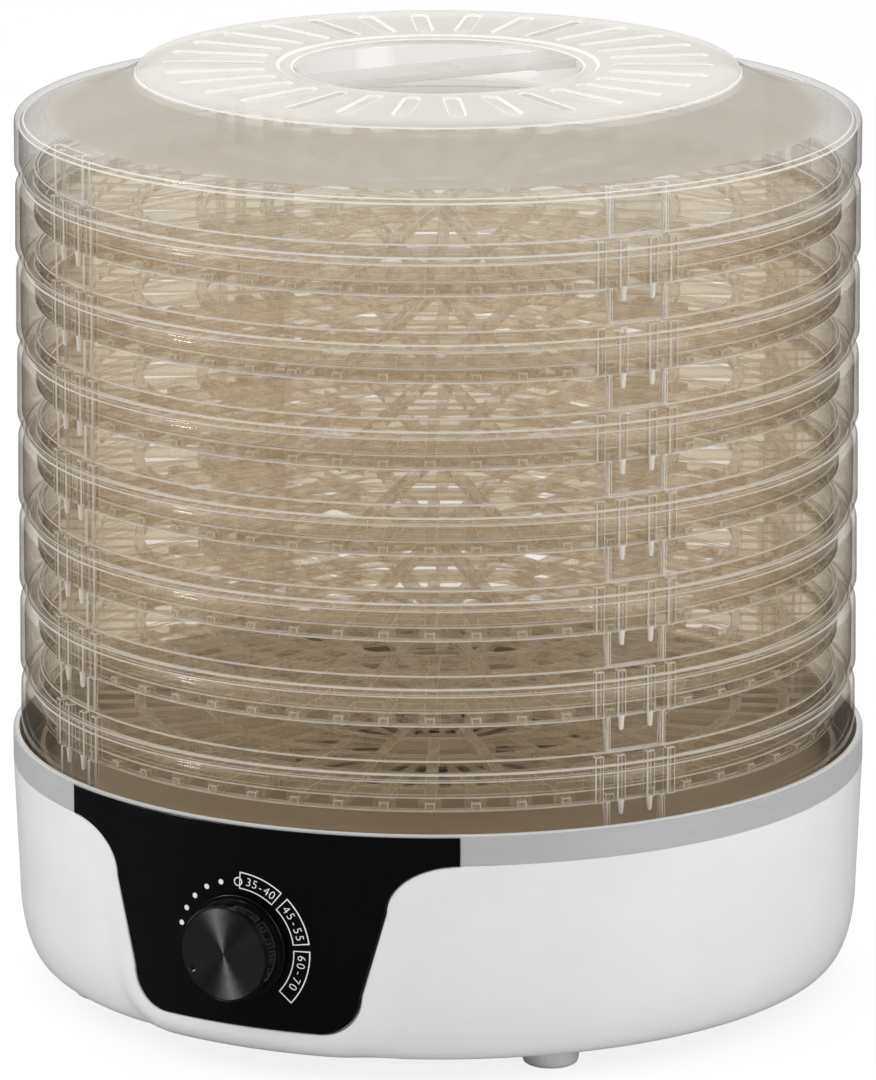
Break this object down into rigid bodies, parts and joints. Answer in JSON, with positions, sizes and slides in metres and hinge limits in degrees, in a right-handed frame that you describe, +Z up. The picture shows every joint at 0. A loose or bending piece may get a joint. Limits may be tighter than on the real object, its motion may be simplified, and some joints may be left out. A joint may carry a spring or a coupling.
{
  "type": "food dehydrator",
  "caption": "Round electric food dehydrator: white base with dial, fan and heater, a stack of clear trays and a vented clear lid.",
  "frame": {"origin": "on the vertical axis of the stack, in the plane the feet stand on", "axes": "+Z up, the dial faces -Y, the cord inlet faces +Y"},
  "size_m": [0.32, 0.3396, 0.3466],
  "materials": {
    "white_plastic": "satin moulded",
    "grey_plastic": "moulded",
    "brushed_trim": "brushed",
    "gloss_black": "high gloss",
    "knob_black": "satin",
    "spun_black": "spun, black anodised",
    "clear_tray": "clear, warm tint",
    "clear_lid": "clear wall, frosted top",
    "steel": "zinc plated",
    "mica": "mica board",
    "heater_wire": "oxidised",
    "black_plastic": "moulded",
    "core_steel": "laminated",
    "copper": "enamelled winding",
    "brass": "plain",
    "phenolic": "moulded",
    "rubber": "soft",
    "wire_blue": "insulated wire"
  },
  "bodies": {
    "base": {"base_housing": "white_plastic", "top_deck": "grey_plastic", "bottom_cover": "white_plastic", "trim_ring": "brushed_trim", "control_panel": "gloss_black", "thermostat": "phenolic", "thermostat_nut": "brass", "air_duct": "steel", "heater_frame": "mica", "heater_coil": "heater_wire", "thermal_cutout": "black_plastic", "motor_core": "core_steel", "motor_coil": "copper", "motor_frame": "steel", "terminal_block": "phenolic", "cord_inlet": "rubber", "wiring": "wire_blue", "feet": "white_plastic", "cover_screws": "steel", "deck_screws": "steel", "motor_screws": "steel"},
    "dial": {"knob": "knob_black", "knob_insert": "spun_black", "thermostat_shaft": "steel"},
    "fan": {"fan_impeller": "black_plastic", "fan_spindle": "steel"},
    "tray_7": {"tray_7": "clear_tray"},
    "tray_6": {"tray_6": "clear_tray"},
    "tray_5": {"tray_5": "clear_tray"},
    "tray_4": {"tray_4": "clear_tray"},
    "tray_3": {"tray_3": "clear_tray"},
    "tray_2": {"tray_2": "clear_tray"},
    "tray_1": {"tray_1": "clear_tray"},
    "lid": {"lid": "clear_lid", "lid_handle": "clear_lid"}
  },
  "joints": [
    {"name": "dial_turn", "type": "hinge", "parent": "base", "child": "dial", "pos_m": [0, -0.16, 0.049], "axis": [0, 1, 0], "range_deg": [0, 250]},
    {"name": "fan_spin", "type": "hinge", "parent": "base", "child": "fan", "pos_m": [0, 0, 0.05], "axis": [0, 0, 1], "continuous": true},
    {"name": "tray_7_lift", "type": "slide", "parent": "base", "child": "tray_7", "axis": [0, 0, 1], "range_m": [0, 0.05]},
    {"name": "tray_6_lift", "type": "slide", "parent": "tray_7", "child": "tray_6", "axis": [0, 0, 1], "range_m": [0, 0.05]},
    {"name": "tray_5_lift", "type": "slide", "parent": "tray_6", "child": "tray_5", "axis": [0, 0, 1], "range_m": [0, 0.05]},
    {"name": "tray_4_lift", "type": "slide", "parent": "tray_5", "child": "tray_4", "axis": [0, 0, 1], "range_m": [0, 0.05]},
    {"name": "tray_3_lift", "type": "slide", "parent": "tray_4", "child": "tray_3", "axis": [0, 0, 1], "range_m": [0, 0.05]},
    {"name": "tray_2_lift", "type": "slide", "parent": "tray_3", "child": "tray_2", "axis": [0, 0, 1], "range_m": [0, 0.05]},
    {"name": "tray_1_lift", "type": "slide", "parent": "tray_2", "child": "tray_1", "axis": [0, 0, 1], "range_m": [0, 0.05]},
    {"name": "lid_lift", "type": "slide", "parent": "tray_1", "child": "lid", "axis": [0, 0, 1], "range_m": [0, 0.08]}
  ]
}
